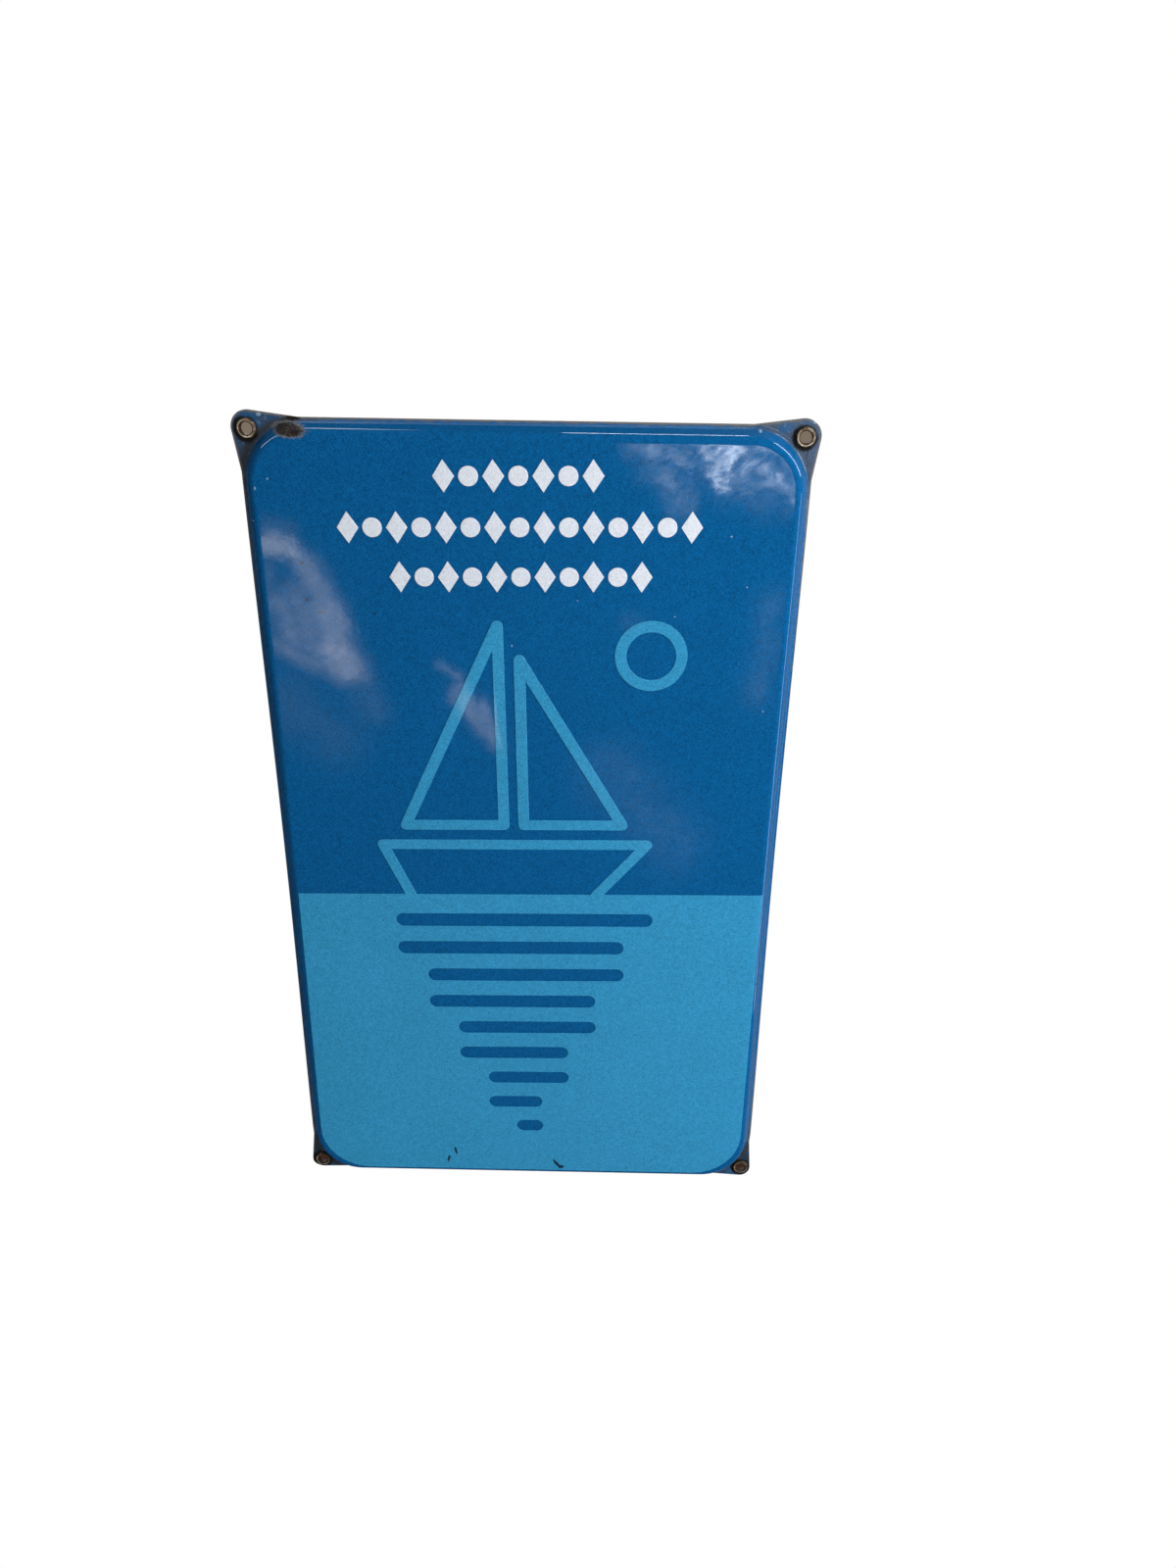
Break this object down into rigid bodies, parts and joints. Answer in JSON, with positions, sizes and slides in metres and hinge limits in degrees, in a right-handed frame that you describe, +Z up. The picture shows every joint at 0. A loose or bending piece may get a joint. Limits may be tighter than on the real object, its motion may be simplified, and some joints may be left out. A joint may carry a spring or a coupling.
{
  "type": "enamelled advertising sign",
  "caption": "Upright pressed steel sign in blue vitreous enamel, with a raised face, a thin lip and an eyelet in each corner ear.",
  "frame": {"origin": "centre of the four screw holes, in the plane of the lip's back", "axes": "+Z up along the sign's long side, +Y from the face to the wall behind it, +X to the right of someone facing the sign"},
  "size_m": [0.3064, 0.0122, 0.5066],
  "materials": {
    "dark_blue_enamel": "glossy dark blue vitreous enamel on steel, dirty and chipped at the ears and the rim",
    "light_blue_enamel": "glossy light blue vitreous enamel",
    "white_enamel": "glossy white vitreous enamel",
    "aged_brass": "dull browned brass with dirt round it"
  },
  "bodies": {
    "root": {"panel": "dark_blue_enamel", "eyelet_top_left": "aged_brass", "eyelet_top_right": "aged_brass", "eyelet_bottom_left": "aged_brass", "eyelet_bottom_right": "aged_brass", "light_blue_enamel": "light_blue_enamel", "white_enamel": "white_enamel"}
  },
  "joints": []
}
